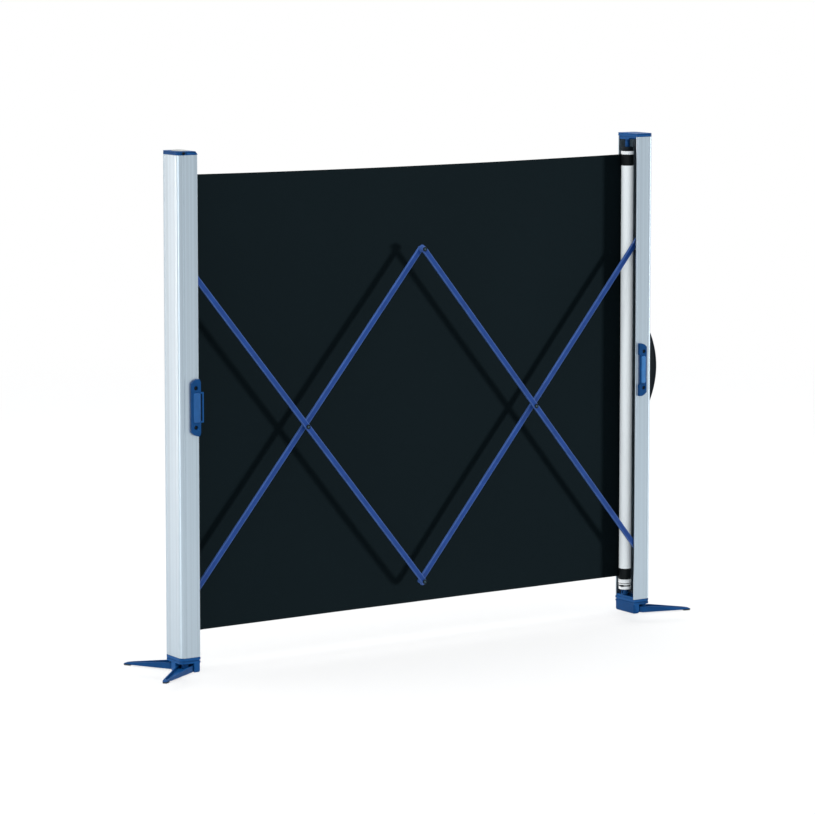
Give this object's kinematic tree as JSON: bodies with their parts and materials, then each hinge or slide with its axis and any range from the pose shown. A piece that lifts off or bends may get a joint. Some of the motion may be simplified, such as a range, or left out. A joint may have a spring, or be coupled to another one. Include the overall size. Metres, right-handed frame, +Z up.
{
  "type": "roll-up banner stand",
  "caption": "Sideways-opening roll-up banner stand: a banner on a vertical roller, two aluminium posts, a double scissor between them and swing-out feet.",
  "frame": {"origin": "on the floor, at the middle of the roller post's base", "axes": "+Z up, +X from the leading post to the roller post, +Y from the back (scissor and latch side) to the front (picture side)"},
  "size_m": [1.1785, 0.1825, 0.9277],
  "materials": {
    "anodised_aluminium": "satin silver anodised",
    "blue_plastic": "moulded, satin",
    "pale_plastic": "moulded, satin",
    "steel": "zinc plated",
    "tip_rubber": "matt",
    "strap": "satin flexible plastic",
    "banner_fabric": "black-backed coated fabric, white face with black borders"
  },
  "bodies": {
    "roller_housing": {"roller_post": "anodised_aluminium", "roller_cap": "blue_plastic", "roller_base": "blue_plastic", "roller_spindle": "blue_plastic", "torsion_spring": "steel", "roller_socket": "blue_plastic", "roller_slider_rail": "anodised_aluminium", "roller_pivot_bracket": "blue_plastic", "roller_bracket_pin": "steel", "roller_latch": "blue_plastic", "roller_latch_screw_upper": "steel", "roller_latch_screw_lower": "steel", "handle_strap": "strap", "handle_end_plate_upper": "blue_plastic", "handle_end_plate_lower": "blue_plastic", "roller_rear_foot_pin": "steel", "roller_front_foot_pin": "steel", "banner_sheet": "banner_fabric"},
    "roller": {"roller_tube": "anodised_aluminium", "wound_banner": "banner_fabric", "roller_upper_plug": "pale_plastic", "roller_lower_plug": "pale_plastic"},
    "roller_falling_arm": {"roller_falling_arm": "blue_plastic", "roller_crossing_pin": "steel", "upper_spacer": "blue_plastic", "upper_middle_pin": "steel"},
    "roller_rising_arm": {"roller_rising_arm": "blue_plastic", "lower_spacer": "blue_plastic", "lower_middle_pin": "steel"},
    "leading_rising_arm": {"leading_rising_arm": "blue_plastic", "leading_crossing_pin": "steel"},
    "leading_falling_arm": {"leading_falling_arm": "blue_plastic"},
    "leading_post": {"leading_post": "anodised_aluminium", "leading_cap": "blue_plastic", "leading_cap_insert": "pale_plastic", "leading_cap_screw": "steel", "leading_base": "blue_plastic", "leading_slider_rail": "anodised_aluminium", "leading_pivot_bracket": "blue_plastic", "leading_bracket_pin": "steel", "leading_latch": "blue_plastic", "leading_latch_screw_upper": "steel", "leading_latch_screw_lower": "steel", "banner_clamp": "anodised_aluminium", "leading_rear_foot_pin": "steel", "leading_front_foot_pin": "steel"},
    "roller_slider": {"roller_slider": "blue_plastic", "roller_slider_pin": "steel"},
    "leading_slider": {"leading_slider": "blue_plastic", "leading_slider_pin": "steel"},
    "leading_rear_foot": {"leading_rear_foot": "blue_plastic", "leading_rear_foot_tip": "tip_rubber"},
    "leading_front_foot": {"leading_front_foot": "blue_plastic", "leading_front_foot_tip": "tip_rubber"},
    "roller_rear_foot": {"roller_rear_foot": "blue_plastic", "roller_rear_foot_tip": "tip_rubber"},
    "roller_front_foot": {"roller_front_foot": "blue_plastic", "roller_front_foot_tip": "tip_rubber"}
  },
  "joints": [
    {"name": "scissor_fold", "type": "hinge", "parent": "roller_housing", "child": "roller_falling_arm", "pos_m": [0.003, -0.0225, 0.112], "axis": [0, 1, 0], "range_deg": [0, 37.45], "deforming": ["banner_sheet"]},
    {"name": "roller_crossing", "type": "hinge", "parent": "roller_falling_arm", "child": "roller_rising_arm", "pos_m": [-0.24775, -0.0167, 0.42], "axis": [0, 1, 0], "range_deg": [-74.92, 0]},
    {"name": "upper_middle_pivot", "type": "hinge", "parent": "roller_falling_arm", "child": "leading_rising_arm", "pos_m": [-0.4985, -0.0167, 0.728], "axis": [0, 1, 0], "range_deg": [-74.92, 0]},
    {"name": "leading_crossing", "type": "hinge", "parent": "leading_rising_arm", "child": "leading_falling_arm", "pos_m": [-0.74925, -0.0167, 0.42], "axis": [0, 1, 0], "range_deg": [0, 74.92]},
    {"name": "leading_post_pivot", "type": "hinge", "parent": "leading_rising_arm", "child": "leading_post", "pos_m": [-1, -0.0109, 0.112], "axis": [0, 1, 0], "range_deg": [0, 37.46]},
    {"name": "roller_slider_pivot", "type": "hinge", "parent": "roller_rising_arm", "child": "roller_slider", "pos_m": [0.003, -0.0109, 0.728], "axis": [0, 1, 0], "range_deg": [0, 37.46]},
    {"name": "leading_slider_pivot", "type": "hinge", "parent": "leading_falling_arm", "child": "leading_slider", "pos_m": [-1, -0.0225, 0.728], "axis": [0, 1, 0], "range_deg": [-37.46, 0]},
    {"name": "roller_spin", "type": "hinge", "parent": "roller_housing", "child": "roller", "pos_m": [-0.012, 0.01, 0.4725], "axis": [0, 0, 1], "continuous": true},
    {"name": "leading_rear_foot_swing", "type": "hinge", "parent": "leading_post", "child": "leading_rear_foot", "pos_m": [-1.0045, -0.022, 0.009], "axis": [0, 0, 1], "range_deg": [-38, 52]},
    {"name": "leading_front_foot_swing", "type": "hinge", "parent": "leading_post", "child": "leading_front_foot", "pos_m": [-1.0045, 0.022, 0.009], "axis": [0, 0, -1], "range_deg": [-53, 37]},
    {"name": "roller_rear_foot_swing", "type": "hinge", "parent": "roller_housing", "child": "roller_rear_foot", "pos_m": [0.0075, -0.022, 0.009], "axis": [0, 0, -1], "range_deg": [-21, 69]},
    {"name": "roller_front_foot_swing", "type": "hinge", "parent": "roller_housing", "child": "roller_front_foot", "pos_m": [0.0075, 0.022, 0.009], "axis": [0, 0, 1], "range_deg": [-53, 37]}
  ],
  "couplings": [
    {"joint": "roller_crossing", "follows": "scissor_fold", "ratio": -2},
    {"joint": "upper_middle_pivot", "follows": "scissor_fold", "ratio": -2},
    {"joint": "leading_crossing", "follows": "scissor_fold", "ratio": 2},
    {"joint": "leading_post_pivot", "follows": "scissor_fold", "ratio": 1},
    {"joint": "roller_slider_pivot", "follows": "scissor_fold", "ratio": 1},
    {"joint": "leading_slider_pivot", "follows": "scissor_fold", "ratio": -1}
  ]
}
